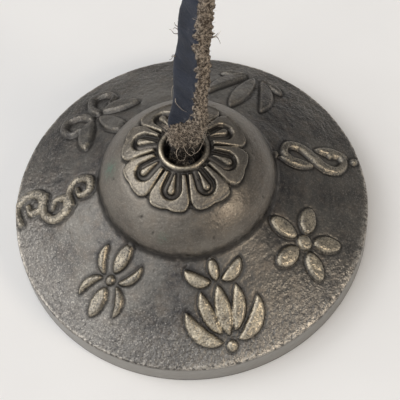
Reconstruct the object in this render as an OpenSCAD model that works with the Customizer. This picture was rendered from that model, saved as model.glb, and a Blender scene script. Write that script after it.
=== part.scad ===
// Hand cymbal bell: one cast bronze bell, hung on a knotted leather thong.
// Millimetres. The origin is the centre of the plane that the rim rests on, +Z up the bell's axis.

/* [Bell] */
// Diameter over the rim
bell_d = 65; // [60:0.5:70]
// Height of the rim's upright edge
rim_h = 4.8; // [3.5:0.1:6]
// Width of the flat ring that the bell rests on
rest_w = 3; // [2:0.1:4]
// Slope of the flange, in degrees
flange_slope = 30.6; // [28:0.1:33]
// Wall thickness, measured straight up
wall = 4.2; // [3.6:0.1:4.6]
// Diameter of the dome where it leaves the flange
dome_d = 31.6; // [30:0.1:33]
// Height of the dome over the flange
dome_h = 11.3; // [10.5:0.1:12]
// Diameter of the hole for the thong
hole_d = 7; // [6.6:0.1:7.4]
// Width of the bead round the hole
bead_w = 0.9; // [0.6:0.1:1.2]

/* [Relief] */
// Number of petals in the rosette
petals = 8; // [6:1:10]
// Radius of the rosette over its petals
rosette_r = 10.8; // [10:0.1:11.4]
// Height of the raised ornament
relief = 0.5; // [0.3:0.1:0.8]

/* [Thong] */
// Width of the leather thong
thong_w = 5.2; // [4.6:0.1:5.4]
// Thickness of the leather thong
thong_t = 2.6; // [2:0.1:2.8]
// Diameter of the stopper knot
knot_d = 10.4; // [9:0.1:11]
// Length of the cut end under the stopper knot
tail_len = 8.8; // [6:0.1:9]

/* [Hidden] */

bronze = [0.42, 0.38, 0.30];
hide = [0.55, 0.48, 0.38];
dyed = [0.16, 0.18, 0.23];

round_steps = 96;       // facets of a round form where it is drawn
dome_power = 1.8;       // exponent of the dome's rounded cone: 1 is a cone, 2 an ellipse
edge_break = 0.3;       // worn edge of the rim
gap = 0.3;              // clearance between the bell and the leather

rim_r = bell_d / 2;
dome_r = dome_d / 2;
hole_r = hole_d / 2;
bead_r = bead_w / 2;
dome_z = rim_h + (rim_r - dome_r) * tan(flange_slope);
inner_dome_r = dome_r - 3.2;
inner_dome_z = dome_z - 3.9;

function flange_z(r) = rim_h + (rim_r - r) * tan(flange_slope);
// A point on a dome of radius r and height h over z, at a degrees from its foot
function dome_pt(r, h, z, a) = [r * pow(cos(a), 2 / dome_power), z + h * pow(sin(a), 2 / dome_power)];
// The angle at which such a dome has narrowed from radius r to radius s
function dome_angle(r, s) = acos(pow(s / r, dome_power / 2));
function dome_curve(r, h, z, s, from, n) =
    [for (i = [0:n]) dome_pt(r, h, z, from + (dome_angle(r, s) - from) * i / n)];
function reversed(list) = [for (i = [len(list) - 1:-1:0]) list[i]];

crown_z = dome_pt(dome_r, dome_h, dome_z, dome_angle(dome_r, hole_r + bead_w))[1];
seat_z = dome_pt(inner_dome_r, dome_h, inner_dome_z, dome_angle(inner_dome_r, hole_r))[1];

// ---- Bell

// The casting's section: up the rim, in over the flange and dome, down the hole and out again inside
module bell_section() {
    outside = dome_curve(dome_r, dome_h, dome_z, hole_r + bead_w, 9, 14);
    bead = [for (a = [30:30:180]) [hole_r + bead_r + bead_r * cos(a), crown_z + bead_r * sin(a)]];
    inside = dome_curve(inner_dome_r, dome_h, inner_dome_z, hole_r, 12, 10);
    polygon(concat(
        [[rim_r - rest_w, 0], [rim_r - edge_break, 0], [rim_r, edge_break], [rim_r, rim_h - edge_break],
         [rim_r - edge_break, flange_z(rim_r - edge_break)],
         [dome_r + 1.4, flange_z(dome_r + 1.4)], [dome_r + 0.5, flange_z(dome_r + 0.8)]],
        outside, bead, reversed(inside),
        [for (r = [inner_dome_r + 1, rim_r - rest_w - 3]) [r, flange_z(r) - wall]]
    ));
}

// A petal's outline, pointing along +X, brought in all round by inset
module petal_outline(inset) {
    half = 180 / petals;
    cap_x = rosette_r * 0.77;
    cap = rosette_r - cap_x - inset;
    foot = hole_r + bead_w + 0.5 + inset;
    polygon(concat(
        [[foot, -(foot * tan(half) - 0.25 - inset * 0.8)]],
        [for (a = [-90:30:90]) [cap_x + cap * cos(a), (cap_x * tan(half) - 0.25 - inset) * sin(a)]],
        [[foot, foot * tan(half) - 0.25 - inset * 0.8]]
    ));
}

// The rosette round the hole: each petal is an outline ridge with a bud inside it
module rosette() {
    intersection() {
        rotate_extrude($fn = round_steps)
            polygon(concat(
                [for (p = dome_curve(dome_r, dome_h, dome_z, hole_r + bead_w, 30, 10)) p + [0, relief]],
                [for (p = reversed(dome_curve(dome_r, dome_h, dome_z, hole_r + bead_w, 30, 10))) p - [0, 1]]
            ));
        translate([0, 0, dome_z])
            linear_extrude(dome_h + 2)
                for (i = [0:petals - 1]) rotate((i + 0.5) * 360 / petals) {
                    difference() {
                        petal_outline(0);
                        petal_outline(0.65);
                    }
                    petal_outline(1.25);
                }
    }
}

// ---- Ornament on the flange: leaves, vines and dots, with x along the rim and y towards the dome.
// Each stroke is one of these, with its angles in degrees:
//   ["leaf", x, y, heading, length, width, bend]
//   ["vine", [width at its start, middle and end], points of its middle line]
//   ["dot", x, y, radius]
function flipped(s) = s[0] == "leaf"
    ? ["leaf", -s[1], s[2], 180 - s[3], s[4], s[5], -s[6]]
    : ["vine", s[1], [for (p = s[2]) [-p[0], p[1]]]];
function both_sides(strokes) = concat(strokes, [for (s = strokes) flipped(s)]);

LOTUS = concat(
    [["dot", 0, -6.5, 1], ["leaf", 0, -4.9, 90, 7.8, 2.8, 0], ["leaf", 0, 3.6, 90, 3.4, 2, 0]],
    both_sides([
        ["leaf", 1.3, -5.7, 8, 8.6, 2.6, 84], ["leaf", 1.1, -4.4, 52, 7.4, 2.4, 44],
        ["leaf", 0.9, 3.6, 0, 5.2, 2.2, 70]
    ])
);
BLOSSOM = [
    ["dot", 0, -0.4, 1.3],
    for (a = [18:72:306]) ["leaf", 1.7 * cos(a), -0.4 + 1.7 * sin(a), a, 4.8, 3, 0]
];
SCROLL = [
    ["vine", [1.2, 2.2, 1],
        [[-0.5, 4.5], [0.9, 5.4], [2.6, 4.3], [2.2, 2], [0.2, 0.3], [-1.9, -1.3], [-2.6, -3.6], [-1.1, -5.5],
         [0.9, -4.8], [0.5, -3.2]]],
    ["leaf", -1.9, 0.6, 84, 6.4, 2, -24], ["leaf", 1.9, -0.6, -96, 6.4, 2, -24],
    ["dot", 0.4, 7.4, 0.8], ["dot", -0.6, -7.6, 0.8]
];
BUD = concat(
    [["leaf", 0, -6, 90, 11, 3.2, 0]],
    both_sides([["leaf", 1.4, -5.6, 38, 9.8, 2.6, 56], ["leaf", 1.2, -5.8, -4, 5.6, 1.8, 40]])
);
TREFOIL = concat(
    [["leaf", 0, -1.2, 90, 8, 3.4, 0]],
    both_sides([
        ["leaf", 1.2, -1.8, 16, 7.4, 3, 40],
        ["vine", [1.6, 1.7, 0.9],
            [[0.9, -2.8], [1.3, -5.2], [3.4, -6.8], [5.6, -5.6], [5.6, -3.2], [3.8, -2.4]]]
    ])
);
WAVE = [
    ["vine", [1.4, 2.1, 1],
        [[1.9, -7.3], [-1.4, -8.1], [-3.6, -5.9], [-2.6, -3.2], [-0.1, -3.1], [0.4, -5.1], [-1.3, -5.8]]],
    ["vine", [1.4, 2.1, 1],
        [[-2.2, -2.2], [1.2, -2.7], [3.3, -0.6], [2.5, 1.8], [0.1, 1.9], [-0.4, -0.1], [1.3, -0.8]]],
    ["vine", [1.3, 1.8, 0.9],
        [[1.8, 3], [-1, 2.4], [-2.9, 4.2], [-2, 6.4], [0.2, 6.4], [0.5, 4.6], [-1, 4]]]
];
TWIN_BUD = concat(
    [["dot", 0, 0, 0.9], ["leaf", 0, 1.3, 90, 5.2, 2.6, 0], ["leaf", 0, -1.3, -90, 5.2, 2.6, 0]],
    both_sides([["leaf", 1.4, 0.3, 20, 5.4, 1.6, 84], ["leaf", 1.4, -0.3, -20, 5.4, 1.6, -84]])
);
// Polar angle and radius of each ornament's middle
ORNAMENTS = [
    [-82, 23.2, LOTUS], [-35, 22.8, BLOSSOM], [9, 23.6, SCROLL], [58, 22.4, BUD],
    [130, 21.8, TREFOIL], [177, 24, WAVE], [226, 22.4, TWIN_BUD]
];
leaf_steps = 10;
vine_steps = 20;

function heading(a) = [cos(a), sin(a)];
function left_of(a) = [-sin(a), cos(a)];
// A point on the smooth curve through a list of points, at t from 0 to 1
function through(list, t) =
    let (n = len(list) - 1, i = min(floor(t * n), n - 1), u = t * n - i, b = list[i], c = list[i + 1],
         a = i == 0 ? 2 * b - c : list[i - 1], d = i + 2 > n ? 2 * c - b : list[i + 2])
    (2 * b + (c - a) * u + (2 * a - 5 * b + 4 * c - d) * u * u + (3 * b - a - 3 * c + d) * u * u * u) / 2;
// The middle line of a stroke at t from 0 to 1, as [point, heading, half width]
function leaf_at(s, t) =
    let (arc = s[6] * PI / 180, a = s[3] + s[6] * t,
         way = s[6] == 0 ? s[4] * t * heading(a) : s[4] / arc * (left_of(s[3]) - left_of(a)))
    [[s[1], s[2]] + way, a, s[5] / 2 * pow(sin(180 * t), 0.7)];
function vine_at(s, t) =
    let (way = through(s[2], min(t + 0.02, 1)) - through(s[2], max(t - 0.02, 0)), w = s[1])
    [through(s[2], t), atan2(way[1], way[0]), lookup(t, [[0, w[0]], [0.5, w[1]], [1, w[2]]]) / 2];
function stroke_line(s) = s[0] == "leaf"
    ? [for (i = [0:leaf_steps]) leaf_at(s, (i + 0.01) / (leaf_steps + 0.02))]
    : [for (i = [0:vine_steps]) vine_at(s, i / vine_steps)];

module stroke(s) {
    if (s[0] == "dot") translate([s[1], s[2]]) circle(s[3], $fn = 24);
    else {
        line = stroke_line(s);
        polygon(concat(
            [for (p = line) p[0] + p[2] * left_of(p[1])],
            [for (p = reversed(line)) p[0] - p[2] * left_of(p[1])]
        ));
    }
}

// All the ornaments, raised from the flange by the relief
module ornaments() {
    intersection() {
        rotate_extrude($fn = round_steps)
            polygon([
                for (p = [[dome_r + 1, relief], [dome_r + 1, -1], [rim_r - 1, -1], [rim_r - 1, relief]])
                    [p[0], flange_z(p[0]) + p[1]]
            ]);
        linear_extrude(dome_z + 2)
            for (o = ORNAMENTS) rotate(o[0] + 90) translate([0, -o[1]]) for (s = o[2]) stroke(s);
    }
}

module bell() {
    color(bronze) union() {
        rotate_extrude($fn = round_steps) bell_section();
        rosette();
        ornaments();
    }
}

// ---- Thong

knot_h = 8;
knot_flat = 3;                          // radius of the knot's flat top and bottom
knot_top = seat_z - gap;
knot_mid = knot_top - knot_h / 2;
bend_z = 30.2;                          // where the thong bends over, above the bead
neck_top = bend_z - thong_t / 2 - 0.2;
loop_knot_mid = [6, 0, 78];
corner = 0.6;                           // worn corner of the leather

// Middle line of the thong over the bend: [x, y, z, turn of its section in degrees, thickness share]
THONG_ROUTE = [
    [0, 0, 30, 0, 0.96], [0, 0, 31.2, 4, 1], [0.5, 0, 33.6, 14, 1], [1.1, 0, 37, 30, 1],
    [1.8, -0.2, 41, 42, 1], [2.4, -0.3, 46, 48, 1], [2.9, -0.3, 51, 48, 1], [3.4, -0.2, 56, 46, 1],
    [4, 0, 61, 42, 1], [4.8, 0.1, 66, 40, 1], [5.6, 0, 70, 34, 1], [6, 0, 72.6, 24, 1], [6, 0, 74, 20, 1]
];
// Middle line of the finger loop: out of the knot's top, round and back down into it
LOOP_ROUTE = [
    [4.4, 0, 81.4], [1.8, 0, 87.2], [-1.2, 0, 92.3], [-4, 0, 97.4], [-5.4, 0, 102], [-4.8, 0, 107],
    [-2.1, 0, 111.1], [2.1, 0, 113.8], [6, 0, 114.5], [9.9, 0, 113.8], [14.1, 0, 111.1], [16.8, 0, 107],
    [17.4, 0, 102], [16, 0, 97.4], [13.2, 0, 92.3], [10.2, 0, 87.2], [7.6, 0, 81.4]
];

function unit(v) = v / norm(v);
// Eight corners of the leather's section, width across and thickness through
function section(w, t) =
    let (x = w / 2, y = t / 2, c = min(corner, y / 2))
    [[x, y - c], [x - c, y], [c - x, y], [-x, y - c], [-x, c - y], [c - x, -y], [x - c, -y], [x, c - y]];
function place(row) = [row[0], row[1], row[2]];
// Direction of a route at its point i
function tangent(route, i) = unit(place(route[min(i + 1, len(route) - 1)]) - place(route[max(i - 1, 0)]));
// One ring of the swept leather; across is the wanted direction of its width
function ring(p, along, across, w, t) =
    let (through = unit(cross(along, across)), side = cross(through, along))
    [for (q = section(w, t)) p + q[0] * side + q[1] * through];

module swept(rings) {
    n = len(rings[0]);
    last = len(rings) - 1;
    polyhedron(
        [for (r = rings) each r],
        concat(
            [[for (j = [0:n - 1]) j]],
            [for (i = [0:last - 1]) for (j = [0:n - 1]) [i * n + j, (i + 1) * n + j, i * n + (j + 1) % n]],
            [for (i = [0:last - 1]) for (j = [0:n - 1])
                [i * n + (j + 1) % n, (i + 1) * n + j, (i + 1) * n + (j + 1) % n]],
            [[for (j = [n - 1:-1:0]) last * n + j]]
        ),
        convexity = 6
    );
}

// A pulled-up knot: a round core with two slanting turns of leather round it
module knot(d, h) {
    r = d / 2;
    side = r - 0.4 - knot_flat;
    rotate_extrude($fn = 64)
        polygon(concat(
            [[0, -h / 2]],
            [for (a = [-90:10:90])
                [knot_flat + side * pow(max(cos(a), 0), 0.8), h / 2 * sign(sin(a)) * pow(abs(sin(a)), 0.8)]],
            [[0, h / 2]]
        ));
    for (tilt = [-24, 24])
        rotate([tilt, 0, 0]) rotate_extrude($fn = 64) translate([r - 1.7, 0]) circle(1.5, $fn = 24);
}

// A straight piece of leather standing on z = 0, its width along X
module straight(length) {
    linear_extrude(length) polygon(section(thong_w, thong_t));
}

module stopper_knot() {
    color(hide) translate([0, 0, knot_mid]) knot(knot_d, knot_h);
}

module knot_tail() {
    color(hide) translate([0, 0, knot_mid - knot_h / 2 - tail_len]) straight(tail_len);
}

module thong_neck() {
    color(hide) translate([0, 0, knot_top]) straight(neck_top - knot_top);
}

// The thong over the bend; its foot is round about the bend's axis
module thong() {
    color(dyed) union() {
        swept([for (i = [0:len(THONG_ROUTE) - 1])
            let (p = THONG_ROUTE[i])
            ring(place(p), tangent(THONG_ROUTE, i), [cos(p[3]), -sin(p[3]), 0], thong_w, thong_t * p[4])]);
        translate([0, 0, bend_z]) rotate([0, 90, 0])
            cylinder(r = thong_t / 2, h = thong_w - corner, center = true, $fn = 48);
    }
}

module loop_knot() {
    color(dyed) translate(loop_knot_mid) rotate([0, 0, 40]) knot(knot_d, knot_h);
}

// The cut end that comes out of the loop's knot, slanting down
module loop_tail() {
    color(dyed) translate(loop_knot_mid) rotate([0, 122, 20])
        translate([0, 0, knot_d / 2 - 0.8]) straight(7.4);
}

module finger_loop() {
    color(dyed) swept([for (i = [0:len(LOOP_ROUTE) - 1])
        ring(LOOP_ROUTE[i], tangent(LOOP_ROUTE, i), [0, -1, 0], thong_w, thong_t)]);
}

bell();
stopper_knot();
knot_tail();
thong_neck();
thong();
loop_knot();
loop_tail();
finger_loop();
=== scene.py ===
"""Looks of a cast bronze hand cymbal bell on its leather thong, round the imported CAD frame. Metres, +Z up."""

import math

import bpy
import numpy as np
from mathutils import Matrix, Vector


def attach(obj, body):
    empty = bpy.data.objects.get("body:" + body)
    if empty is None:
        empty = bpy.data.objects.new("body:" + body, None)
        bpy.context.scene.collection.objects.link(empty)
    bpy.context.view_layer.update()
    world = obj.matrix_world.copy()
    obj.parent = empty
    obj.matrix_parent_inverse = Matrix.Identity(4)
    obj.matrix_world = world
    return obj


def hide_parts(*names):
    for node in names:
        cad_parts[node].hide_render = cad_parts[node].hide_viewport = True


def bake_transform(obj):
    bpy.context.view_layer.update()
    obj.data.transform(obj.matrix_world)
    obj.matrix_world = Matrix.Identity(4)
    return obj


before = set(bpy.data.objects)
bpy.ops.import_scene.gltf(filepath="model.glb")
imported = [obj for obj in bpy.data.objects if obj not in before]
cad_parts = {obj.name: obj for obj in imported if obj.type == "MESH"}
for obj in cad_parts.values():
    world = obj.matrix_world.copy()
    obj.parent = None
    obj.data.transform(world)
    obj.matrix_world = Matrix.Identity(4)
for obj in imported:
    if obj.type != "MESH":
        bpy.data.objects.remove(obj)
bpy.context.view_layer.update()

# Shapes are worked out in millimetres, and turned into metres as each becomes a mesh
MM = 0.001
FAR = 99.0


# ---- Camera

CAMERA_DISTANCE = 0.2529
CAMERA_ELEVATION = math.radians(61.9)
CAMERA_ROLL = math.radians(-7.06)
CAMERA_LENS = 121.3
CAMERA_SENSOR = 36
CAMERA_SHIFT = (0.0192, 0.0439)
CAMERA_NEAR = 0.01


def make_camera():
    """A camera that looks along +Y and down at the middle of the rim's plane."""
    forward = Vector((0, math.cos(CAMERA_ELEVATION), -math.sin(CAMERA_ELEVATION)))
    level = Vector((1, 0, 0))
    rise = Vector((0, math.sin(CAMERA_ELEVATION), math.cos(CAMERA_ELEVATION)))
    right = level * math.cos(CAMERA_ROLL) + rise * math.sin(CAMERA_ROLL)
    up = rise * math.cos(CAMERA_ROLL) - level * math.sin(CAMERA_ROLL)
    data = bpy.data.cameras.new("camera")
    data.lens = CAMERA_LENS
    data.sensor_width = CAMERA_SENSOR
    data.clip_start = CAMERA_NEAR
    data.shift_x, data.shift_y = CAMERA_SHIFT
    camera = bpy.data.objects.new("camera", data)
    turn = Matrix((right, up, -forward)).transposed().to_4x4()
    camera.matrix_world = Matrix.Translation(-forward * CAMERA_DISTANCE) @ turn
    bpy.context.scene.collection.objects.link(camera)
    bpy.context.scene.camera = camera


make_camera()


# ---- Noise, curves and meshes

NOISE_WAVES = 40
NOISE_PITCH = (0.55, 1.5)


def smooth_noise(points, scale, seed):
    """Smooth noise of about unit size at points, with bumps about scale wide, the same on every run."""
    rng = np.random.default_rng(seed)
    direction = rng.normal(size=(NOISE_WAVES, 3))
    direction /= np.linalg.norm(direction, axis=1)[:, None]
    pitch = 2 * math.pi / scale * rng.uniform(*NOISE_PITCH, NOISE_WAVES)
    phase = rng.uniform(0, 2 * math.pi, NOISE_WAVES)
    total = np.zeros(len(points))
    for d, k, p in zip(direction, pitch, phase):
        total += np.sin(points @ d * k + p)
    return total / math.sqrt(NOISE_WAVES / 2)


def ease(x, low, high):
    """0 below low, 1 above high, and a smooth step between."""
    t = np.clip((x - low) / (high - low), 0, 1)
    return t * t * (3 - 2 * t)


def hump(x, spread):
    """1 where x is 0, and next to nothing beyond twice spread on either side."""
    return np.exp(-(x / spread) ** 2)


def heading(degrees):
    return np.array([math.cos(math.radians(degrees)), math.sin(math.radians(degrees))])


def left_of(degrees):
    return np.array([-math.sin(math.radians(degrees)), math.cos(math.radians(degrees))])


def unit(rows):
    """Each row as a direction of length 1."""
    return rows / np.linalg.norm(rows, axis=1)[:, None]


def run_along(points):
    """How far along a line each of its points lies."""
    return np.r_[0, np.cumsum(np.linalg.norm(np.diff(points, axis=0), axis=1))]


def at_lengths(rows, along, places):
    """The rows of a line that lie at the given lengths along it."""
    return np.stack([np.interp(places, along, rows[:, k]) for k in range(rows.shape[1])], 1)


def with_ends(route):
    """A route's rows, with one more beyond each end in line with the last two."""
    rows = np.array(route, float)
    return np.vstack([2 * rows[0] - rows[1], rows, 2 * rows[-1] - rows[-2]])


def catmull_rom(a, b, c, d, t):
    """The curve from b to c, at t from 0 to 1, for neighbours a and d."""
    return 0.5 * (2 * b + (c - a) * t + (2 * a - 5 * b + 4 * c - d) * t**2 + (3 * b - a - 3 * c + d) * t**3)


def new_piece(name, points, faces):
    """A smooth mesh object of points in millimetres."""
    mesh = bpy.data.meshes.new(name)
    mesh.from_pydata([tuple(p) for p in points * MM], [], faces)
    mesh.validate()
    mesh.shade_smooth()
    piece = bpy.data.objects.new(name, mesh)
    bpy.context.scene.collection.objects.link(piece)
    return piece


def paint(piece, name, values):
    """A number at each point of a piece, which its material reads."""
    layer = piece.data.attributes.new(name, "FLOAT", "POINT")
    layer.data.foreach_set("value", np.asarray(values, np.float32))


# ---- Bell: a surface of revolution with the cast relief raised from it

RIM_R = 32.5
RIM_H = 4.8
REST_W = 3.0
FLANGE_SLOPE = math.tan(math.radians(30.6))
WALL = 4.2
DOME_R = 15.8
DOME_H = 11.3
DOME_POWER = 1.8
DOME_WALL = 3.2
DOME_DROP = 3.9
HOLE_R = 3.5
HOLE_FOOT_Z = 24
BEAD_R = 0.45
BEAD_Z = 25.2
DOME_Z = RIM_H + (RIM_R - DOME_R) * FLANGE_SLOPE
FOOT_R = DOME_R + 0.5
INNER_R = DOME_R - DOME_WALL
INNER_Z = DOME_Z - DOME_DROP
CROWN_R = HOLE_R + 2 * BEAD_R
SECTION_STEP = 0.04
CORNER_SPREAD = 0.16


def flange_z(r):
    return RIM_H + (RIM_R - r) * FLANGE_SLOPE


def dome_curve(radius, z, start, stop_r, count):
    """Points of a dome's section from an angle up to where it has narrowed to stop_r."""
    stop = math.acos((stop_r / radius) ** (DOME_POWER / 2))
    angles = np.linspace(math.radians(start), stop, count)
    power = 2 / DOME_POWER
    return [(radius * math.cos(a) ** power, z + DOME_H * math.sin(a) ** power) for a in angles]


def bell_section():
    """The casting's section from the rest face out, over the top and back inside, as (r, z) points."""
    crown_z = dome_curve(DOME_R, DOME_Z, 3, CROWN_R, 2)[-1][1]
    bead = [
        (HOLE_R + BEAD_R + BEAD_R * math.cos(a), crown_z + BEAD_R * math.sin(a))
        for a in np.radians(np.arange(20, 181, 20))
    ]
    outside = [(RIM_R - REST_W / 2, 0), (RIM_R, 0), (RIM_R, RIM_H + 0.1), (FOOT_R, flange_z(FOOT_R))]
    over = dome_curve(DOME_R, DOME_Z, 4, CROWN_R, 60)
    inside = dome_curve(INNER_R, INNER_Z, 12, HOLE_R, 40)[::-1]
    foot = [(r, flange_z(r) - WALL) for r in (INNER_R + 1, RIM_R - REST_W - 3)]
    rest = [(RIM_R - REST_W, 0), (RIM_R - REST_W / 2, 0)]
    return np.array(outside + over + bead + inside + foot + rest)


def eased_section(points):
    """The section at an even fine step, with its corners rounded as a casting's are."""
    along = run_along(points)
    line = at_lengths(points, along, np.arange(0, along[-1], SECTION_STEP))
    reach = int(4 * CORNER_SPREAD / SECTION_STEP)
    weight = np.exp(-0.5 * (np.arange(-reach, reach + 1) * SECTION_STEP / CORNER_SPREAD) ** 2)
    weight /= weight.sum()
    around = np.concatenate([line[-reach - 1:-1], line, line[1:reach + 1]])
    return np.stack([np.convolve(around[:, k], weight, "valid")[:len(line)] for k in (0, 1)], 1)


# Spacing of the rings and number of points round them, by zone of the section
ZONES = {
    "rim": (0.16, 720), "flange": (0.19, 720), "dome": (0.32, 360), "rosette": (0.15, 360),
    "hole": (0.3, 180), "inside": (0.7, 180),
}
ROSETTE_R = 10.9


def zone_of(r, z, outside):
    if not outside:
        return "hole" if r < HOLE_R + 1 and z > 21 else "inside"
    if r > RIM_R - 0.9:
        return "rim"
    if r > DOME_R - 0.2:
        return "flange"
    if r > ROSETTE_R + 0.3:
        return "dome"
    return "rosette" if r > HOLE_R + 0.2 else "hole"


def bell_rings():
    """Rings up the outside, down the hole and back: radius, height, outward normal, point count, outside."""
    line = eased_section(bell_section())
    top = int(np.argmin(np.abs(line[:, 0] - HOLE_R) + (line[:, 1] < HOLE_FOOT_Z) * FAR))
    along = unit(np.gradient(line, axis=0))
    rings = []
    travelled = FAR
    for i, (r, z) in enumerate(line):
        spacing, count = ZONES[zone_of(r, z, i <= top)]
        travelled += SECTION_STEP
        if travelled >= spacing:
            travelled = 0.0
            rings.append((r, z, along[i, 1], -along[i, 0], count, i <= top))
    return rings


# ---- Ornament on the flange: leaves, vines and dots, with x along the rim and y towards the dome.
# A leaf is (x, y, heading, length, width, bend), a vine its widths and the points of its middle line,
# and a dot (x, y, radius)


def flipped(stroke):
    if stroke[0] == "leaf":
        x, y, start, size, width, turn = stroke[1:]
        return ("leaf", -x, y, 180 - start, size, width, -turn)
    return ("vine", stroke[1], [(-x, y) for x, y in stroke[2]])


def both_sides(*strokes):
    return [*strokes, *(flipped(s) for s in strokes)]


BLOSSOM_Y = -0.4
BLOSSOM_R = 1.7
VINE = (1.4, 2.2, 1.1)
LOTUS = [
    ("dot", 0, -6.5, 1), ("leaf", 0, -4.9, 90, 7.8, 3, 0), ("leaf", 0, 3.6, 90, 3.4, 2.1, 0),
    *both_sides(
        ("leaf", 1.3, -5.7, 8, 8.6, 2.8, 84),
        ("leaf", 1.1, -4.4, 52, 7.4, 2.6, 44),
        ("leaf", 0.9, 3.6, 0, 5.2, 2.3, 70),
    ),
]
BLOSSOM = [
    ("dot", 0, BLOSSOM_Y, 1.4),
    *(
        ("leaf", BLOSSOM_R * heading(a)[0], BLOSSOM_Y + BLOSSOM_R * heading(a)[1], a, 4.8, 3.1, 0)
        for a in range(18, 379, 72)
    ),
]
SCROLL = [
    ("vine", (1.2, 2.2, 1.1), [
        (-0.5, 4.5), (0.9, 5.4), (2.6, 4.3), (2.2, 2), (0.2, 0.3),
        (-1.9, -1.3), (-2.6, -3.6), (-1.1, -5.5), (0.9, -4.8), (0.5, -3.2),
    ]),
    ("leaf", -1.9, 0.6, 84, 6.4, 2.1, -24), ("leaf", 1.9, -0.6, -96, 6.4, 2.1, -24),
    ("dot", 0.4, 7.4, 0.8), ("dot", -0.6, -7.6, 0.8),
]
BUD = [
    ("leaf", 0, -6, 90, 11, 3.4, 0),
    *both_sides(("leaf", 1.4, -5.6, 38, 9.8, 2.8, 56), ("leaf", 1.2, -5.8, -4, 5.6, 1.9, 40)),
]
TREFOIL = [
    ("leaf", 0, -1.2, 90, 8, 3.6, 0),
    *both_sides(
        ("leaf", 1.2, -1.8, 16, 7.4, 3.2, 40),
        ("vine", (1.6, 1.9, 1.1), [
            (0.9, -2.8), (1.3, -5.2), (3.4, -6.8), (5.6, -5.6), (5.6, -3.2), (3.8, -2.4),
        ]),
    ),
]
WAVE = [
    ("vine", VINE, [
        (1.9, -7.3), (-1.4, -8.1), (-3.6, -5.9), (-2.6, -3.2), (-0.1, -3.1), (0.4, -5.1), (-1.3, -5.8),
    ]),
    ("vine", VINE, [
        (-2.2, -2.2), (1.2, -2.7), (3.3, -0.6), (2.5, 1.8), (0.1, 1.9), (-0.4, -0.1), (1.3, -0.8),
    ]),
    ("vine", (1.3, 1.9, 1.0), [(1.8, 3), (-1, 2.4), (-2.9, 4.2), (-2, 6.4), (0.2, 6.4), (0.5, 4.6), (-1, 4)]),
]
TWIN_BUD = [
    ("dot", 0, 0, 0.9), ("leaf", 0, 1.3, 90, 5.2, 2.8, 0), ("leaf", 0, -1.3, -90, 5.2, 2.8, 0),
    *both_sides(("leaf", 1.4, 0.3, 20, 5.4, 1.7, 84), ("leaf", 1.4, -0.3, -20, 5.4, 1.7, -84)),
]
# Polar angle and radius of each ornament's middle, and how bright its top is painted: wear, less towards the
# back as painted shade
ORNAMENTS = [
    (-82, 23.2, LOTUS, 0.9), (-35, 22.8, BLOSSOM, 0.75), (9, 23.6, SCROLL, 0.5), (58, 22.4, BUD, 0.2),
    (130, 21.8, TREFOIL, 0.2), (177, 24, WAVE, 0.6), (226, 22.4, TWIN_BUD, 0.6),
]
ORNAMENT_REACH = 10.5
# Height of the ornament, how far in from its edge it is full, and the depth of the trench round it
RELIEF, RELIEF_BEVEL, RELIEF_TRENCH = 0.72, 0.7, 0.14


def through_points(points, count):
    """A smooth curve through points, at count places."""
    rows = with_ends(points)
    at = np.linspace(0, len(points) - 1.001, count)
    i = at.astype(int)
    return catmull_rom(rows[i], rows[i + 1], rows[i + 2], rows[i + 3], (at - i)[:, None])


def stroke_line(stroke, count=22):
    """The middle line of a stroke and its half width along it."""
    if stroke[0] == "vine":
        width = np.interp(np.linspace(0, 1, 2 * count), (0, 0.5, 1), stroke[1])
        return through_points(stroke[2], 2 * count), width / 2
    kind, x, y = stroke[:3]
    middle = np.array([x, y], float)
    if kind == "dot":
        return np.array([middle, middle + 0.01]), np.array([stroke[3]] * 2)
    start, size, width, turn = stroke[3:]
    t = np.linspace(0.01, 0.99, count)
    arc = math.radians(turn)
    if turn == 0:
        line = [middle + size * k * heading(start) for k in t]
    else:
        line = [middle + size / arc * (left_of(start) - left_of(start + turn * k)) for k in t]
    return np.array(line), width / 2 * np.sin(math.pi * t) ** 0.7


def away_from_line(points, line, half):
    """How far outside a tapering stroke each point lies; less than 0 inside it."""
    best = np.full(len(points), FAR)
    for a, b, wide_a, wide_b in zip(line[:-1], line[1:], half[:-1], half[1:]):
        d = b - a
        t = np.clip((points - a) @ d / (d @ d), 0, 1)
        gap = np.linalg.norm(points - a - t[:, None] * d, axis=1) - (wide_a + (wide_b - wide_a) * t)
        best = np.minimum(best, gap)
    return best


def raised(away, height, bevel, trench):
    """Height of relief whose edge is at away = 0: a worn top, a steep rounded side and a trench round it."""
    body = height * np.sin(math.pi / 2 * np.clip(-away / bevel, 0, 1)) ** 0.8
    return np.where(away < 0, body - trench * hump(away, 0.12), -trench * hump(away, 0.32))


def edge_shade(away):
    """How much painted shade darkens a relief near its edge: it fills the trench and stops at the worn top."""
    return np.where(away > 0, hump(away, 0.42), hump(away, 0.14))


def edge_wear_and_highlight(inside, top):
    """How bright a relief is painted: bright along its edge, as edge wear and as a painted highlight, and top
    over the rest of it.
    """
    return ease(inside, 0.03, 0.2) * (top + (1 - top) * hump(inside - 0.24, 0.13))


def ornament_relief(x, y, on_flange):
    """Height of the flange's ornament, how bright each point is painted for wear and painted highlight, and how
    much painted shade darkens it near its edges.
    """
    away = np.full(len(x), FAR)
    shine = np.zeros(len(x))
    for angle, radius, strokes, wear_and_light in ORNAMENTS:
        a = math.radians(angle + 90)
        local = np.stack([x * math.cos(a) + y * math.sin(a), -x * math.sin(a) + y * math.cos(a) + radius], 1)
        near = on_flange & (np.abs(local) < ORNAMENT_REACH).all(axis=1)
        for stroke in strokes:
            line, half = stroke_line(stroke)
            away[near] = np.minimum(away[near], away_from_line(local[near], line, half))
        shine[near] = wear_and_light
    height = raised(away, RELIEF, RELIEF_BEVEL, RELIEF_TRENCH)
    # The third value is painted shade in the trench round each stroke
    return height, shine * edge_wear_and_highlight(-away, 0.78), 0.75 * edge_shade(away)


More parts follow.
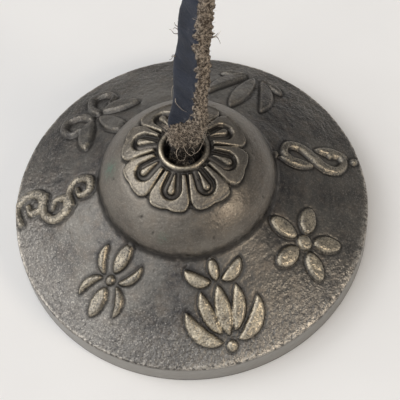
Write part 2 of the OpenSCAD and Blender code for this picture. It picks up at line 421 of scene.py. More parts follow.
PETALS = 8
PETAL_SHOULDER = 1.9
PETAL_GAP = 0.24
PETAL_ROOT_R = 4.95
PETAL_RELIEF = 0.66
ROSETTE_SINK = 0.2
# Radians. The rosette and the bead get painted shade on this side and painted light on the side away from here
SHADED_SIDE_ANGLE = 0.6
# Middle line from the hole outwards, and half width at its two ends
CHANNEL = (np.array([(4.4, 0), (7.5, 0)]), np.array([0.86, 1.62]))
PETAL_BUD = (np.array([(5.2, 0), (7.8, 0)]), np.array([0.2, 0.78]))


def rosette_relief(r, theta):
    """The same for the rosette: petals with a deep U-shaped channel and a raised bud inside each."""
    pitch = 2 * math.pi / PETALS
    turn = (theta / pitch) % 1 - 0.5
    across = r * np.sin(turn * pitch)
    out = r * np.cos(turn * pitch)
    edge = ROSETTE_R - 0.2 * hump(turn, 0.09) - r
    side = r * math.tan(pitch / 2) - np.abs(across) - PETAL_GAP
    corner = PETAL_SHOULDER - np.hypot(
        np.maximum(PETAL_SHOULDER - edge, 0), np.maximum(PETAL_SHOULDER - side, 0))
    rounded = np.where(np.minimum(edge, side) < PETAL_SHOULDER, corner, PETAL_SHOULDER)
    inside_petal = np.minimum(np.where(r > 7, rounded, side), r - PETAL_ROOT_R)
    flat = np.stack([out, across], 1)
    channel = away_from_line(flat, *CHANNEL)
    bud = away_from_line(flat, *PETAL_BUD)
    ridge = np.minimum(inside_petal, channel)
    height = raised(-ridge, PETAL_RELIEF, 0.4, 0.16) + raised(bud, PETAL_RELIEF, 0.55, 0.0)
    height = height - ROSETTE_SINK * (r < ROSETTE_R - 0.6)
    # painted highlight along the ridge and bud edges, which also stands for edge wear
    worn = 0.8 * np.maximum(edge_wear_and_highlight(ridge, 0.32), edge_wear_and_highlight(-bud, 0.6))
    # painted light on the side away from the shaded side, and painted shade towards it
    worn = worn * (0.75 - 0.25 * np.cos(theta - SHADED_SIDE_ANGLE))
    # painted shade in the trench round the petals and buds, and in the channels
    recess_shade = edge_shade(np.minimum(-ridge, bud)) * (r < ROSETTE_R + 0.8)
    recess_shade = np.maximum(recess_shade, 0.55 * (channel < 0.1) * (bud > 0))
    return height, worn, recess_shade


# Small casting pits and dents: x, y, radius and depth. The pits, narrower than PIT_R, get painted shade inside
PITS_AND_DENTS = [
    (-8.6, -9.6, 0.26, 0.1), (-7, -12.2, 0.22, 0.1), (12.6, -7.4, 0.24, 0.1), (3.2, -14.2, 0.2, 0.08),
    (-12.8, -1.5, 0.24, 0.08), (9.4, 9.8, 0.26, 0.1), (-15.2, -23.6, 0.8, 0.16), (-12.6, -26, 0.6, 0.14),
    (-18.6, -20.8, 0.7, 0.12), (22.8, -18.2, 0.6, 0.12), (-24, 6.5, 0.7, 0.12), (4, 27.6, 0.8, 0.14),
]
PIT_R = 0.4
# Green stains: middle, radius and strength
STAINS = [((-13.2, 0.8, 20), 1.5, 1), ((-5.5, -13.5, 19), 1, 0.5)]


def bell_marks(r, z, theta, outside):
    """How far each point is raised from the plain section, and the numbers that the bronze reads there."""
    x, y = r * np.cos(theta), r * np.sin(theta)
    xyz = np.stack([x, y, z], 1)
    on_flange = outside & (z > RIM_H) & (r < RIM_R - 0.1) & (r > DOME_R + 0.05)
    lift, worn, recess_shade = ornament_relief(x, y, on_flange)
    fade = ease(r, DOME_R + 0.1, DOME_R + 0.7) * ease(RIM_R - r, 0.1, 0.6)
    lift, worn, recess_shade = lift * fade * on_flange, worn * fade * on_flange, recess_shade * on_flange
    on_rosette = outside & (r < ROSETTE_R + 0.9) & (r > CROWN_R + 0.15)
    both = zip(rosette_relief(r, theta), (lift, worn, recess_shade))
    lift, worn, recess_shade = (np.where(on_rosette, petal, leaf) for petal, leaf in both)

    # The bead and the rim's edge are worn bright, the bead with painted light on one side and painted shade on
    # the other, and the corners and the ring round the bead get painted shade
    on_side = outside & (r > RIM_R - 0.12) & (z > 0.4) & (z < RIM_H - 0.2)
    worn = np.where(on_side, 0, worn)
    on_bead = outside & (r < CROWN_R) & (z > BEAD_Z)
    # the bead's wear, with painted light on one side and painted shade on the other
    bead_worn = ease(z, BEAD_Z + 0.1, BEAD_Z + 0.55) * (0.6 - 0.4 * np.cos(theta - SHADED_SIDE_ANGLE))
    worn = np.where(on_bead, bead_worn, worn)
    foot_spread = 0.35 + 0.1 * smooth_noise(xyz, 1.6, 16)
    # painted shade in the corner at the dome's foot, round the bead and under the rim's edge
    recess_shade = np.maximum(recess_shade, 0.85 * hump(r - DOME_R - 0.1, foot_spread) * outside)
    recess_shade = np.maximum(recess_shade, hump(r - CROWN_R - 0.3, 0.22) * outside)
    recess_shade = np.maximum(recess_shade, 0.75 * outside * (r > RIM_R - 0.3) * hump(z - RIM_H + 0.28, 0.16))
    lip_spread = 0.24 + 0.5 * ease(np.cos(theta + 0.87), 0.5, 0.95)
    lip = hump(np.maximum(RIM_R - 0.16 - r, 0), lip_spread) * outside * (z > RIM_H - 0.3)

    # A casting is never quite even: broad swells, small lumps, pits and an uneven edge
    cast = ease(r, DOME_R, DOME_R + 2)
    swell = (0.02 + 0.03 * cast) * smooth_noise(xyz, 9, 11)
    swell = swell + (0.004 + 0.01 * cast) * smooth_noise(xyz, 2.2, 12)
    grain = (0.002 + 0.007 * cast) * smooth_noise(xyz, 0.75, 13)
    rough = ease(r, 20, 31) * (0.35 + 0.65 * ease(-y - 0.4 * x, -5, 20))
    off_rest = ease(z, 0.3, 1.5)
    calm_side = 1 - 0.65 * ease(r, RIM_R - 0.5, RIM_R - 0.1)
    lift = lift + (swell + grain * (1 + 1.6 * rough)) * off_rest * outside * calm_side
    lift += 0.03 * smooth_noise(xyz, 4, 14) * ~outside * off_rest
    lift -= 0.1 * ease(smooth_noise(xyz, 1.3, 15), 2.3, 2.8) * outside * off_rest * calm_side
    for mark_x, mark_y, size, depth in PITS_AND_DENTS:
        hit = hump(np.hypot(x - mark_x, y - mark_y), size) * outside
        lift -= depth * hit
        # painted shade inside the small pits
        recess_shade = np.maximum(recess_shade, 0.9 * hit * (size < PIT_R))

    return lift, {
        "worn": worn, "recess_shade": recess_shade, "lip": lip,
        "domed": ease(FOOT_R - r, 0, 1) * outside,
        "rough_skin": rough * on_flange - 0.4 * on_side,
        "stain": sum(s * hump(np.linalg.norm(xyz - middle, axis=1), radius) for middle, radius, s in STAINS),
    }


def faces_between(a, n, b, m):
    """Faces from a ring of n points at a to one of m points at b, where one of n and m divides the other."""
    if n == m:
        return [(a + j, a + (j + 1) % n, b + (j + 1) % n, b + j) for j in range(n)]
    if n < m:
        return [face[::-1] for face in faces_between(b, m, a, n)]
    k = n // m
    faces = []
    for j in range(m):
        near, far = b + j, b + (j + 1) % m
        fine = [a + (j * k + q) % n for q in range(k + 1)]
        faces += [(fine[q], fine[q + 1], near) for q in range(k // 2)]
        faces.append((fine[k // 2], far, near))
        faces += [(fine[q], fine[q + 1], far) for q in range(k // 2, k)]
    return faces


def make_bell():
    rings = bell_rings()
    counts = [ring[4] for ring in rings]
    starts = [0, *np.cumsum(counts).tolist()]
    r, z, nr, nz, _, outside = np.repeat(np.array(rings, float), counts, axis=0).T
    theta = np.concatenate([np.arange(count) * 2 * math.pi / count for count in counts])
    lift, marks = bell_marks(r, z, theta, outside > 0.5)
    r, z = r + nr * lift, z + nz * lift
    faces = []
    for i, count in enumerate(counts):
        after = (i + 1) % len(rings)
        faces += faces_between(starts[i], count, starts[after], counts[after])
    piece = new_piece("cast_bell", np.stack([r * np.cos(theta), r * np.sin(theta), z], 1), faces)
    for name, values in marks.items():
        paint(piece, name, values)
    return piece


# ---- Leather: one swept strip for each length of the thong. The rows of a route are its middle line, and
# then either the turn of its section in degrees or the direction of its width

THONG_W = 5.2
THONG_T = 2.6
THONG_ROUTE = [
    (0, 0, 20.6, 0), (0.2, 0.4, 23, 0), (0.3, 0.6, 26, 2), (0.6, 0.5, 30.2, 8), (1, 0.3, 33, 16),
    (1.6, 0, 37, 30), (2, -0.2, 41, 42), (2.4, -0.3, 46, 48), (2.9, -0.3, 51, 50), (3.4, -0.2, 56, 52),
    (4, 0, 61, 54), (4.8, 0.1, 66, 56), (5.6, 0, 70, 50), (6, 0, 74.6, 40),
]
# How the thong's width and thickness change with its height: pinched in the hole and frayed wide above it
THONG_HEIGHTS = (20.6, 25.6, 29, 32, 36, 56, 66)
WIDTH_SHARES = (0.82, 0.86, 1.08, 1.08, 1.12, 1.04, 0.9)
THICKNESS_SHARES = (0.8, 0.76, 1, 1.02, 1, 1, 1)
# Height at which the torn dyed face starts, and how gently it widens from there
TORN_FACE = (32.8, 4.2)
# Painted shade darkens the thong where it goes down into the hole to the knot, up to here
HOLE_SHADE_TOP = 27.4
LOOP_ROUTE = [
    (5, 0, 80.4), (4.4, 0, 82.3), (1.8, 0, 87.2), (-1.2, 0, 92.3), (-4, 0, 97.4), (-5.4, 0, 102),
    (-4.8, 0, 107), (-2.1, 0, 111.1), (2.1, 0, 113.8), (6, 0, 114.5), (9.9, 0, 113.8), (14.1, 0, 111.1),
    (16.8, 0, 107), (17.4, 0, 102), (16, 0, 97.4), (13.2, 0, 92.3), (10.2, 0, 87.2), (7.6, 0, 82.3),
    (7, 0, 80.4),
]
KNOT_W = 4.3
KNOT_T = 2.1
KNOT_ROUTE = [
    (0, 0, 5.4, 0, -1, 0), (0.4, 0.2, 3, 0.1, -1, 0.1), (1.8, 1.4, 1, -0.4, -0.7, 0.6),
    (1.8, 3, -0.5, 0, 0, 1), (-1.2, 3.4, -0.7, 0, 0, 1), (-3.5, 1.4, -0.5, 0, 0, 1),
    (-3.4, -1.8, 0, 0, 0, 1), (-0.8, -3.7, 0.5, 0, 0, 1), (2.4, -3.1, 0.9, 0, 0, 1),
    (4, -0.4, 0.8, 0, 0.1, 1), (3.3, 2.6, 0.4, 0.2, 0.2, 1), (0.8, 3.9, -1, 0.4, 0, 1),
    (-0.4, 2.4, -2.8, 0.7, -0.6, 0.4), (0, 0.6, -4, 0.2, -1, 0), (0, 0, -5.6, 0, -1, 0),
]
STOPPER_KNOT = (0, 0, 17.2)
LOOP_KNOT = (6, 0, 78)
LOOP_KNOT_TURN = 70
TAIL_ROUTE = [(0, 0, 13.6, 90), (0.1, 0, 10.5, 94), (0, 0, 7.4, 92), (-0.3, 0, 4.5, 88)]
LOOP_TAIL_ROUTE = [
    (9.2, 1.2, 76.4, 0, -1, 0.2), (11.4, 2, 75, 0, -1, 0.1), (13.4, 2.7, 73.4, 0, -1, 0),
    (15, 3.3, 71.9, 0, -1, 0),
]
TAPER = 4
# Single hairs that stand out of the thong, each point as far across it, as far behind its middle and as high
PALE_HAIRS = [
    [
        (1, -1.4, 25.4), (1.6, -2.2, 26), (2.4, -1.9, 26.8),
        (3.2, -0.8, 28.2), (3.7, 0.5, 29.6), (4, 1.4, 30.4),
    ],
    [(-1, -1.2, 27), (-1.6, -2.1, 26.6), (-1.3, -2.9, 25.6), (-0.4, -2.8, 25.2), (0, -2.2, 26)],
    [(-0.4, -1.4, 27.6), (0.2, -2.4, 26.8), (1, -2.7, 26.2), (1.5, -2.2, 26.8), (1.1, -1.6, 27.4)],
    [(-1.9, -1.4, 41), (-1.5, -1.9, 40.9), (-0.8, -2, 40.4), (-0.1, -1.8, 39.6), (0.3, -1.5, 39)],
    [(-2.7, -0.5, 43.6), (-3.1, -0.8, 42), (-2.9, -0.9, 40)],
    [(2.4, 1.2, 58), (3, 1.9, 58.6), (3.2, 2.3, 59.6)],
    [(-2.6, -0.6, 31), (-3.3, -0.8, 30.2), (-3.4, -0.9, 29)],
]
DARK_HAIRS = [
    [(-2.2, -0.9, 57), (-2.9, -1.3, 56.8), (-3.5, -1.4, 57.2), (-3.8, -1.5, 57.1)],
    [(-2.2, -0.9, 58.4), (-2.8, -1.3, 58.8), (-2.9, -1.4, 59.4)],
    [(-2.2, -0.9, 57.6), (-2.8, -1.3, 58.2), (-3, -1.5, 57.8)],
    [(-2.2, -0.9, 51.4), (-2.9, -1.3, 51.2), (-3, -1.4, 50.6), (-3.4, -1.5, 50.1)],
    [(-2.3, -0.9, 51), (-2.8, -1.3, 51.7), (-3, -1.5, 51.2)],
    [(-2.2, -0.9, 50.6), (-2.8, -1.2, 50.2), (-2.9, -1.3, 49.6)],
    [(2.3, 1, 58.4), (2.8, 1.6, 58.6), (3, 2, 59.2)],
    [(2.3, 1, 58), (2.9, 1.8, 58.3), (3.3, 2.1, 57.5), (3.5, 2.2, 56.8)],
    [(-2.5, -0.4, 44.6), (-3.2, -0.6, 44.4), (-3.4, -0.7, 43.6)],
]
RING_STEP = 0.3
HAIR_STEP = 0.15
SECTION_POINTS = 44
SECTION_CORNER = 0.3


def with_turn(route):
    """A route with the turn of its section given as the direction of its width instead."""
    return [(x, y, z, math.cos(math.radians(a)), -math.sin(math.radians(a)), 0) for x, y, z, a in route]


def with_across(route, across):
    return [(*row, *across) for row in route]


def moved(route, place, turn=0):
    """A route of points and width directions, turned about Z and moved to a place."""
    a = math.radians(turn)
    spin = np.array([[math.cos(a), -math.sin(a), 0], [math.sin(a), math.cos(a), 0], [0, 0, 1]])
    rows = np.array(route, float)
    return np.hstack([rows[:, :3] @ spin.T + place, rows[:, 3:] @ spin.T])


def smooth_route(route, step):
    """A smooth curve through the rows of a route, at an even step."""
    rows = with_ends(route)
    t = np.linspace(0, 1, 24, endpoint=False)[:, None]
    out = [catmull_rom(a, b, c, d, t) for a, b, c, d in zip(rows[:-3], rows[1:-2], rows[2:-1], rows[3:])]
    out = np.vstack(out + [rows[-2]])
    along = run_along(out[:, :3])
    even = np.linspace(0, along[-1], max(4, int(round(along[-1] / step))))
    return at_lengths(out, along, even), even


def strip_section():
    """Points round a flat strip 2 by 2 with round corners, with their outward directions."""
    outline, turns = [], []
    for quarter, (sx, sy) in enumerate([(1, 1), (-1, 1), (-1, -1), (1, -1)]):
        for a in np.linspace(quarter * 90, quarter * 90 + 90, 8):
            outline.append(np.array([sx, sy]) * (1 - SECTION_CORNER) + SECTION_CORNER * heading(a))
            turns.append(heading(a))
    outline, turns = np.array(outline + outline[:1]), np.array(turns + turns[:1])
    along = run_along(outline * (THONG_W, THONG_T))
    even = np.linspace(0, along[-1], SECTION_POINTS, endpoint=False)
    return at_lengths(outline, along, even), unit(at_lengths(turns, along, even))


def sweep_leather(
        name, route, width, thick, seed, grain_side=-1, torn=None, shares=None, taper=0, hole_shade_top=0):
    """A strip of leather along a route: a smooth dyed grain face, and rough flesh on its edges and back."""
    rows, along = smooth_route(route, RING_STEP)
    centre = rows[:, :3]
    tangent = unit(np.gradient(centre, axis=0))
    through = unit(np.cross(tangent, rows[:, 3:6]))
    side = np.cross(through, tangent)
    outline, turns = strip_section()
    n, m = len(rows), SECTION_POINTS
    here = np.stack([along, along * 0, along * 0], 1)
    wide = width / 2 * (1 + 0.05 * smooth_noise(here, 9, seed))
    deep = thick / 2 * (1 + 0.05 * smooth_noise(here, 7, seed + 1))
    if shares:
        wide *= np.interp(centre[:, 2], shares[0], shares[1])
        deep *= np.interp(centre[:, 2], shares[0], shares[2])
    if taper:
        wide *= 0.75 + 0.25 * np.minimum(1, (along[-1] - along) / taper)
    u = wide[:, None] * outline[None, :, 0]
    v = deep[:, None] * outline[None, :, 1]
    points = centre[:, None, :] + u[..., None] * side[:, None, :] + v[..., None] * through[:, None, :]
    out = turns[None, :, :1] * side[:, None, :] + turns[None, :, 1:] * through[:, None, :]
    points, out = points.reshape(-1, 3), out.reshape(-1, 3)
    u, v = u.ravel(), v.ravel()
    wide, deep, height = np.repeat(wide, m), np.repeat(deep, m), np.repeat(centre[:, 2], m)

    on_face = ease(v * grain_side / deep, 0.72, 0.96)
    ragged = smooth_noise(points, 1.4, seed + 2)
    frayed = 0.8 + 0.3 * smooth_noise(points, 2.6, seed + 8) if torn else 0
    on_face *= ease(wide - u - frayed + 0.12 * ragged, 0.05, 0.3)
    if torn:
        # The dye goes round one edge, and is torn away towards the hole along a ragged slanting line
        low, reach = torn
        on_face = np.maximum(on_face, ease(-u / wide, 0.8, 0.95))
        kept = 1 - np.exp(-np.maximum(height - low, 0) / reach)
        edge = wide * (2.04 * kept - 1) + 0.25 * ragged + 0.2 * smooth_noise(points, 0.6, seed + 7)
        on_face *= ease(edge - u, -0.08, 0.15) * ease(height + 0.4 * ragged, low - 0.2, low + 0.2)
    flesh = 1 - on_face
    bumps = 0.15 * smooth_noise(points, 0.9, seed + 4) + 0.12 * smooth_noise(points, 0.5, seed + 5)
    points = points + out * (flesh * bumps + 0.035 * smooth_noise(points, 3, seed + 6))[:, None]

    faces = [
        (i * m + j, i * m + (j + 1) % m, (i + 1) * m + (j + 1) % m, (i + 1) * m + j)
        for i in range(n - 1) for j in range(m)
    ]
    last = (n - 1) * m
    for j in range(m):
        faces += [((j + 1) % m, j, n * m), (last + j, last + (j + 1) % m, n * m + 1)]
    piece = new_piece(name, np.vstack([points, centre[0], centre[-1]]), faces)
    # painted shade: darker towards the bottom, below the given top, where the thong goes into the hole
    hole_shade = ease(hole_shade_top - height, 0, 1.6) if hole_shade_top else np.zeros(len(points))
    paint(piece, "grain", np.r_[on_face, 0, 0])
    paint(piece, "hole_shade", np.r_[hole_shade, 0, 0])
    return piece, centre * MM, (points, out, flesh)


# ---- Fibres and hairs: tubes of three sides

TUBE_ANGLES = (0, 2.1, 4.2)
TUBE_NARROWS = 0.7
FIBRE_STEPS = 5


def tube_ring(middle, radius, side, other):
    return [middle + radius * (math.cos(a) * side + math.sin(a) * other) for a in TUBE_ANGLES]


def tube_faces(base, count):
    """Faces of a closed tube of count rings whose points start at base."""
    end = base + 3 * (count - 1)
    faces = [
        (row + a, row + (a + 1) % 3, row + 3 + (a + 1) % 3, row + 3 + a)
        for row in range(base, end, 3) for a in range(3)
    ]
    return faces + [(base + 2, base + 1, base), (end, end + 1, end + 2)]


def make_fibres(name, surface, count, length, seed, keep):
    """Loose fibres that stand out of the flesh side where keep allows it, each a thin bent tube."""
    points, out, flesh = surface
    rng = np.random.default_rng(seed)
    allowed = np.flatnonzero(keep(points[:, 2], flesh))
    verts, faces, shade = [], [], []
    for _ in range(count):
        i = rng.choice(allowed)
        size = length[0] + (length[1] - length[0]) * rng.uniform() ** 2
        aim = out[i] * rng.uniform(0.4, 1) + rng.normal(size=3) * 0.6
        aim /= np.linalg.norm(aim)
        curl = rng.normal(size=3) * 0.9
        thick = rng.uniform(0.02, 0.04)
        line = [points[i] - out[i] * 0.1]
        for _ in range(FIBRE_STEPS):
            line.append(line[-1] + aim * size / FIBRE_STEPS)
            aim = aim + curl / FIBRE_STEPS
            aim /= np.linalg.norm(aim)
        side = np.cross(aim, (0.3, 0.5, 0.8))
        side /= np.linalg.norm(side)
        other = np.cross(aim, side)
        faces += tube_faces(len(verts), len(line))
        shade += [rng.uniform()] * 3 * len(line)
        for q, p in enumerate(line):
            verts += tube_ring(p, thick * (1 - TUBE_NARROWS * q / FIBRE_STEPS), side, other)
    piece = new_piece(name, np.array(verts), faces)
    paint(piece, "shade", shade)
    return piece


def beside_thong(hair):
    """The points of a hair that is given across, behind and along the thong."""
    x, y, z, turn = np.array(THONG_ROUTE).T
    points = []
    for across, behind, height in hair:
        a = math.radians(np.interp(height, z, turn))
        points.append((
            np.interp(height, z, x) + across * math.cos(a) + behind * math.sin(a),
            np.interp(height, z, y) - across * math.sin(a) + behind * math.cos(a), height))
    return points


def make_hairs(name, hairs, thick):
    """Single long hairs, each a thin tapering tube along a smooth curve through its own points."""
    verts, faces = [], []
    for points in hairs:
        line = smooth_route(points, HAIR_STEP)[0]
        along = np.gradient(line, axis=0)
        side = unit(np.cross(along, (0.31, 0.53, 0.79)))
        other = unit(np.cross(along, side))
        faces += tube_faces(len(verts), len(line))
        for i, p in enumerate(line):
            verts += tube_ring(p, thick * (1 - TUBE_NARROWS * i / len(line)), side[i], other[i])
    piece = new_piece(name, np.array(verts), faces)
    paint(piece, "shade", np.full(len(verts), 0.9))
    return piece


def curls_in_hole(count, seed):
    """Torn curls of leather that lie on the knot in the front of the hole."""
    rng = np.random.default_rng(seed)
    curls = []
    for _ in range(count):
        a = rng.uniform(-170, 10)
        middle = np.array([*(rng.uniform(0.4, 2.7) * heading(a)), rng.uniform(22.4, 25)])
        radius, start, tilt = rng.uniform(0.25, 0.7), rng.uniform(0, 360), rng.normal(size=3) * 0.5
        curls.append([
            tuple(middle + radius * np.array([*heading(start + turn), 0]) + tilt * radius * turn / 150)
            for turn in range(0, 301, 60)
        ])
    return curls


# ---- Materials

PATINA_DARK = (0.058, 0.056, 0.057)
PATINA_LIGHT = (0.158, 0.151, 0.138)
PATINA_WARM = (0.25, 0.205, 0.165)
PATINA_PALE = (0.27, 0.26, 0.245)
DOME_TONE = (0.28, 0.243, 0.195)
TURNED_SIDE = (0.33, 0.318, 0.298)
# rubbed bronze on the rim's edge, also the colour of the painted glints
RUBBED_AND_GLINT_BRONZE = (0.58, 0.54, 0.48)
BRONZE_DULL = (0.31, 0.27, 0.21)
BRONZE_BRIGHT = (0.78, 0.69, 0.52)
# colour of the painted shade
PAINTED_SHADE_BLACK = (0.022, 0.021, 0.021)
VERDIGRIS = (0.12, 0.22, 0.17)
DYE_DARK = (0.004, 0.008, 0.019)
DYE_LIGHT = (0.014, 0.021, 0.041)
DYE_SCUFFED = (0.11, 0.12, 0.14)
FLESH_DARK = (0.016, 0.012, 0.01)
FLESH_LIGHT = (0.46, 0.39, 0.31)
FLESH_BROWN = (0.15, 0.11, 0.08)
# colour of the painted shade in the hole
HOLE_SHADE_DARK = (0.012, 0.011, 0.011)
FIBRE_DARK = (0.035, 0.027, 0.021)
FIBRE_LIGHT = (0.62, 0.53, 0.43)
PAPER_DARK = (0.842, 0.843, 0.845)
PAPER_LIGHT = (0.882, 0.883, 0.884)


def new_material(name):
    material = bpy.data.materials.new(name)
    material.use_nodes = True
    return material, material.node_tree, material.node_tree.nodes["Principled BSDF"].inputs


def put(piece, material):
    piece.data.materials.clear()
    piece.data.materials.append(material)


def noise(tree, scale, detail=4, roughness=0.6, stretch=(1, 1, 1)):
    """A noise texture in object space, in units per metre, and its factor socket."""
    place = tree.nodes.new("ShaderNodeTexCoord")
    stretched = tree.nodes.new("ShaderNodeMapping")
    stretched.inputs["Scale"].default_value = stretch
    tree.links.new(place.outputs["Object"], stretched.inputs["Vector"])
    texture = tree.nodes.new("ShaderNodeTexNoise")
    texture.inputs["Scale"].default_value = scale
    texture.inputs["Detail"].default_value = detail
    texture.inputs["Roughness"].default_value = roughness
    tree.links.new(stretched.outputs["Vector"], texture.inputs["Vector"])
    return texture.outputs["Fac"]


def attribute(tree, name):
    node = tree.nodes.new("ShaderNodeAttribute")
    node.attribute_name = name
    return node.outputs["Fac"]


def ranged(tree, source, low, high, to_low=0.0, to_high=1.0):
    """source, from low to high, carried over to to_low to to_high and held there."""
    node = tree.nodes.new("ShaderNodeMapRange")
    node.inputs["From Min"].default_value = low
    node.inputs["From Max"].default_value = high
    node.inputs["To Min"].default_value = to_low
    node.inputs["To Max"].default_value = to_high
    tree.links.new(source, node.inputs["Value"])
    return node.outputs["Result"]


def maths(tree, operation, a, b):
    node = tree.nodes.new("ShaderNodeMath")
    node.operation = operation
    node.use_clamp = operation in ("ADD", "SUBTRACT")
    for socket, value in zip(node.inputs, (a, b)):
        if isinstance(value, (int, float)):
            socket.default_value = value
        else:
            tree.links.new(value, socket)
    return node.outputs["Value"]


def mix(tree, factor, a, b):
    """Mixes two colours, each a socket or (r, g, b)."""
    node = tree.nodes.new("ShaderNodeMix")
    node.data_type = "RGBA"
    tree.links.new(factor, node.inputs["Factor"])
    for socket, value in ((node.inputs[6], a), (node.inputs[7], b)):
        if isinstance(value, tuple):
            socket.default_value = (*value, 1)
        else:
            tree.links.new(value, socket)
    return node.outputs[2]


def bump(tree, height, strength, distance, under=None):
    node = tree.nodes.new("ShaderNodeBump")
    node.inputs["Strength"].default_value = strength
    node.inputs["Distance"].default_value = distance
    tree.links.new(height, node.inputs["Height"])
    if under is not None:
        tree.links.new(under, node.inputs["Normal"])
    return node.outputs["Normal"]


def bronze_material():
    material, tree, shader = new_material("cast_bronze")
    rough_skin = attribute(tree, "rough_skin")
    broad = noise(tree, 80, 4)
    mottle = noise(tree, 420, 6, 0.7)
    fleck = noise(tree, 1500, 5, 0.75)
    speck = noise(tree, 3200, 3, 0.6)
    brushed = noise(tree, 2600, 3, 0.6, (0.12, 0.12, 1))
    grit = ranged(tree, rough_skin, -0.4, 1, 0, 1)

    patina = mix(tree, ranged(tree, broad, 0.4, 0.64), PATINA_DARK, PATINA_LIGHT)
    patina = mix(tree, ranged(tree, mottle, 0.45, 0.72, 0, 0.4), patina, PATINA_WARM)
    patina = mix(tree, ranged(tree, brushed, 0.4, 0.65, 0, 0.45), patina, PATINA_LIGHT)
    patina = mix(tree, ranged(tree, rough_skin, 0.5, 1, 0, 0.45), patina, PATINA_PALE)
    patina = mix(tree, ranged(tree, rough_skin, -0.4, 0, 0.9, 0), patina, TURNED_SIDE)
    patina = mix(tree, ranged(tree, attribute(tree, "domed"), 0, 1, 0, 0.3), patina, DOME_TONE)
    # painted glints: specks of bright bronze on the rough skin stand in for sparkling highlights
    painted_glint = maths(tree, "MULTIPLY", ranged(tree, speck, 0.52, 0.68, 0, 0.5), grit)
    patina = mix(tree, painted_glint, patina, RUBBED_AND_GLINT_BRONZE)
    hollow = maths(tree, "MULTIPLY", ranged(tree, fleck, 0.36, 0.5, 0.6, 0), grit)
    patina = mix(tree, hollow, patina, PATINA_DARK)

    bright = mix(tree, ranged(tree, mottle, 0.35, 0.65), BRONZE_DULL, BRONZE_BRIGHT)
    pits = ranged(tree, speck, 0.38, 0.5, 0.5, 0)
    # worn tops, with painted edge highlights and painted light and shade on the rosette, bead and ornaments
    shine = maths(tree, "SUBTRACT", ranged(tree, attribute(tree, "worn"), 0.1, 1), pits)
    edge = maths(tree, "MULTIPLY", attribute(tree, "lip"), ranged(tree, fleck, 0.42, 0.58))
    edge = maths(tree, "MULTIPLY", edge, ranged(tree, broad, 0.35, 0.5, 0.3))
    # painted shade: near-black in the trenches, channels, pits and corners
    recess_shade = ranged(tree, attribute(tree, "recess_shade"), 0.1, 0.9, 0, 0.85)
    green = maths(tree, "MULTIPLY", attribute(tree, "stain"), ranged(tree, fleck, 0.4, 0.6, 0, 0.8))
    colour = mix(tree, shine, patina, bright)
    colour = mix(tree, edge, colour, RUBBED_AND_GLINT_BRONZE)
    colour = mix(tree, recess_shade, colour, PAINTED_SHADE_BLACK)
    tree.links.new(mix(tree, green, colour, VERDIGRIS), shader["Base Color"])

    shader["Metallic"].default_value = 0.92
    smoother = maths(tree, "MULTIPLY", shine, 0.08)
    rough = maths(tree, "SUBTRACT", ranged(tree, mottle, 0.3, 0.7, 0.33, 0.48), smoother)
    tree.links.new(rough, shader["Roughness"])
    pebbles = maths(tree, "MULTIPLY", noise(tree, 3000, 1, 0.5), grit)
    lumps = maths(tree, "MULTIPLY", noise(tree, 1300, 1.5, 0.5), grit)
    skin = bump(tree, lumps, 1, 0.00024, bump(tree, pebbles, 1, 0.00013))
    tree.links.new(bump(tree, brushed, 0.12, 0.00006, skin), shader["Normal"])
    return material


def leather_material():
    material, tree, shader = new_material("thong_leather")
    grain = attribute(tree, "grain")
    broad = noise(tree, 260, 4)
    fuzz = noise(tree, 2000, 5, 0.7)
    scuff = noise(tree, 700, 6, 0.7)
    dyed = mix(tree, ranged(tree, broad, 0.35, 0.7), DYE_DARK, DYE_LIGHT)
    dyed = mix(tree, ranged(tree, scuff, 0.58, 0.72, 0, 0.5), dyed, DYE_SCUFFED)
    flesh = mix(tree, ranged(tree, fuzz, 0.44, 0.6), FLESH_DARK, FLESH_LIGHT)
    flesh = mix(tree, ranged(tree, broad, 0.3, 0.7, 0, 0.4), flesh, FLESH_BROWN)
    # painted shade on the flesh down in the hole
    flesh = mix(tree, ranged(tree, attribute(tree, "hole_shade"), 0, 1, 0, 0.9), flesh, HOLE_SHADE_DARK)
    tree.links.new(mix(tree, ranged(tree, grain, 0.25, 0.6), flesh, dyed), shader["Base Color"])
    tree.links.new(ranged(tree, grain, 0.25, 0.6, 0.95, 0.55), shader["Roughness"])
    shader["Sheen Weight"].default_value = 0.05
    shader["Sheen Roughness"].default_value = 0.6
    shader["Specular IOR Level"].default_value = 0.22
    tree.links.new(bump(tree, scuff, 0.5, 0.0002, bump(tree, fuzz, 0.8, 0.0003)), shader["Normal"])
    return material


def fibre_material():
    material, tree, shader = new_material("leather_fibre")
    shade = ranged(tree, attribute(tree, "shade"), 0.3, 0.75)
    tree.links.new(mix(tree, shade, FIBRE_DARK, FIBRE_LIGHT), shader["Base Color"])
    shader["Roughness"].default_value = 0.8
    return material


def paper_material():
    material, tree, shader = new_material("pale_floor")
    tone = ranged(tree, noise(tree, 25, 3), 0.3, 0.7)
    tree.links.new(mix(tree, tone, PAPER_DARK, PAPER_LIGHT), shader["Base Color"])
    shader["Roughness"].default_value = 0.85
    return material


# ---- Build

bronze = bronze_material()
leather = leather_material()
fibre = fibre_material()

bell = make_bell()
put(bell, bronze)
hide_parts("bell")
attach(bell, "bell")

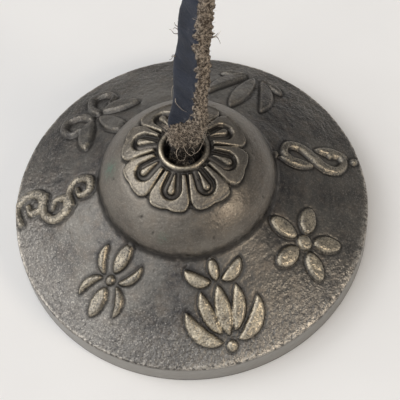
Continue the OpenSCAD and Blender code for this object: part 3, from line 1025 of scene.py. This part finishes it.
thong, thong_path, thong_surface = sweep_leather(
    "thong_strip", with_turn(THONG_ROUTE), THONG_W, THONG_T, 101, torn=TORN_FACE,
    shares=(THONG_HEIGHTS, WIDTH_SHARES, THICKNESS_SHARES), hole_shade_top=HOLE_SHADE_TOP)
put(thong, leather)
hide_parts("thong", "thong_neck")
fuzz = make_fibres(
    "thong_fuzz", thong_surface, 900, (0.3, 1.3), 201, lambda z, flesh: (flesh > 0.6) & (z > 25))
frayed = make_fibres(
    "thong_frayed_end", thong_surface, 700, (0.5, 2), 204,
    lambda z, flesh: (flesh > 0.5) & (z > 27) & (z < 36))
hairs = make_hairs("thong_hairs", [beside_thong(hair) for hair in PALE_HAIRS], 0.05)
dark_hairs = make_hairs("thong_dark_hairs", [beside_thong(hair) for hair in DARK_HAIRS], 0.09)
for piece in (fuzz, frayed, hairs):
    put(piece, fibre)
put(dark_hairs, leather)
for piece in (thong, fuzz, frayed, hairs, dark_hairs):
    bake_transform(piece)

curls = make_hairs("knot_curls", curls_in_hole(46, 301), 0.07)
# painted shade on the curls that lie in the hole
paint(curls, "hole_shade", np.full(len(curls.data.vertices), 0.55))
stopper, _, _ = sweep_leather("stopper_knot_strip", moved(KNOT_ROUTE, STOPPER_KNOT), KNOT_W, KNOT_T, 111)
tail, _, _ = sweep_leather("knot_tail_strip", with_turn(TAIL_ROUTE), 4.8, 2.4, 112, taper=TAPER)
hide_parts("stopper_knot")
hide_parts("knot_tail")
for piece in (curls, stopper, tail):
    put(piece, leather)
    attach(piece, "knot")

loop_knot, _, _ = sweep_leather(
    "loop_knot_strip", moved(KNOT_ROUTE, LOOP_KNOT, LOOP_KNOT_TURN), KNOT_W, KNOT_T, 113, grain_side=1)
loop_tail, _, _ = sweep_leather("loop_tail_strip", LOOP_TAIL_ROUTE, 4.6, 2.4, 114, taper=TAPER)
loop, loop_path, loop_surface = sweep_leather(
    "finger_loop_strip", with_across(LOOP_ROUTE, (0, -1, 0)), THONG_W, THONG_T, 115, grain_side=1)
loop_fuzz = make_fibres("loop_fuzz", loop_surface, 200, (0.4, 1.3), 203, lambda z, flesh: flesh > 0.6)
put(loop_fuzz, fibre)
for piece, node in ((loop_knot, "loop_knot"), (loop_tail, "loop_tail"), (loop, "finger_loop")):
    put(piece, leather)
    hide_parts(node)
for piece in (loop_knot, loop_tail, loop, loop_fuzz):
    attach(piece, "upper_thong")


# ---- Floor and light

FLOOR_SIZE = 12
LIT_POINT = Vector((0, 0, 0.01))
# The room is brightest in this direction, up and to the left, and dim behind the object
BRIGHTEST = Vector((-0.7, 0.05, 0.7)).normalized()
ROOM_DARK = (0.15, 0.147, 0.144)
ROOM_BRIGHT = (1.0, 0.99, 0.98)
ROOM_STRENGTH = 1.93


def make_floor():
    bpy.ops.mesh.primitive_plane_add(size=FLOOR_SIZE)
    floor = bpy.context.object
    floor.name = "floor"
    floor.data.materials.append(paper_material())


def make_light(name, place, size, watts, colour):
    data = bpy.data.lights.new(name, "AREA")
    data.shape = "DISK"
    data.size = size
    data.energy = watts
    data.color = colour
    light = bpy.data.objects.new(name, data)
    light.location = place
    light.rotation_euler = (LIT_POINT - Vector(place)).to_track_quat("-Z", "Y").to_euler()
    bpy.context.scene.collection.objects.link(light)


def make_world():
    world = bpy.data.worlds.new("world")
    world.use_nodes = True
    tree = world.node_tree
    place = tree.nodes.new("ShaderNodeTexCoord")
    facing = tree.nodes.new("ShaderNodeVectorMath")
    facing.operation = "DOT_PRODUCT"
    facing.inputs[1].default_value = BRIGHTEST
    tree.links.new(place.outputs["Generated"], facing.inputs[0])
    parts = tree.nodes.new("ShaderNodeSeparateXYZ")
    tree.links.new(place.outputs["Generated"], parts.inputs["Vector"])
    glow = maths(tree, "POWER", ranged(tree, facing.outputs["Value"], 0.15, 1.0), 1.5)
    glow = maths(tree, "MULTIPLY", glow, ranged(tree, parts.outputs["Y"], -0.2, 0.7, 1, 0.1))
    background = tree.nodes["Background"]
    tree.links.new(mix(tree, glow, ROOM_DARK, ROOM_BRIGHT), background.inputs["Color"])
    background.inputs["Strength"].default_value = ROOM_STRENGTH
    bpy.context.scene.world = world


make_floor()
make_world()
make_light("window", (-0.82, 0.36, 0.68), 0.8, 2.8, (1, 0.98, 0.96))
make_light("fill", (0.5, -0.45, 0.4), 0.32, 1.6, (1, 0.86, 0.69))
bpy.context.scene.view_settings.view_transform = "Standard"
